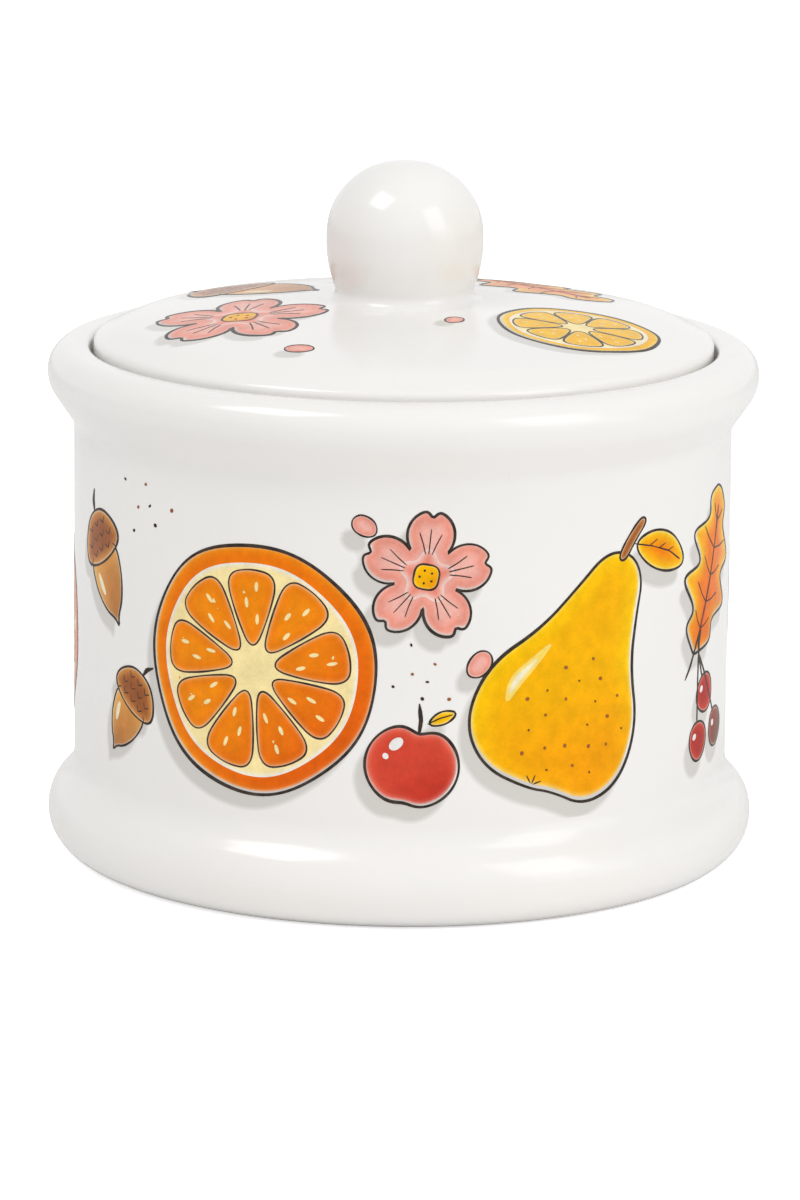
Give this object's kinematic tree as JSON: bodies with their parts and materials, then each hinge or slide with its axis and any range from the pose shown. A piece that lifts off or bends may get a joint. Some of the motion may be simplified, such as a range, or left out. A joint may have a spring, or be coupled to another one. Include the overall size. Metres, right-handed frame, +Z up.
{
  "type": "biscuit jar",
  "caption": "Round glazed ceramic biscuit jar with a rolled rim and foot, and a domed lift-off lid with a ball knob that sits inside the rim.",
  "frame": {"origin": "middle of the base, on the surface that the jar stands on", "axes": "+Z up along the jar's axis, which is also the way the lid lifts; +X and +Y lie in the base, and -Y is the side that faces the viewer"},
  "size_m": [0.1806, 0.1806, 0.1768],
  "materials": {
    "jar_glaze": "clear gloss glaze over white clay, with printed motifs under it and a dry unglazed foot ring",
    "lid_glaze": "clear gloss glaze over white clay, with printed motifs under it",
    "knob_glaze": "clear gloss glaze over white clay",
    "motif_print": "printed motif under the glaze, yellow, orange, red, pink and brown with dark ink outlines"
  },
  "bodies": {
    "jar": {"jar_body": "jar_glaze"},
    "lid": {"lid": "lid_glaze", "knob": "knob_glaze"}
  },
  "joints": [
    {"name": "lid_lift", "type": "slide", "parent": "jar", "child": "lid", "axis": [0, 0, 1], "range_m": [0, 0.12]}
  ]
}
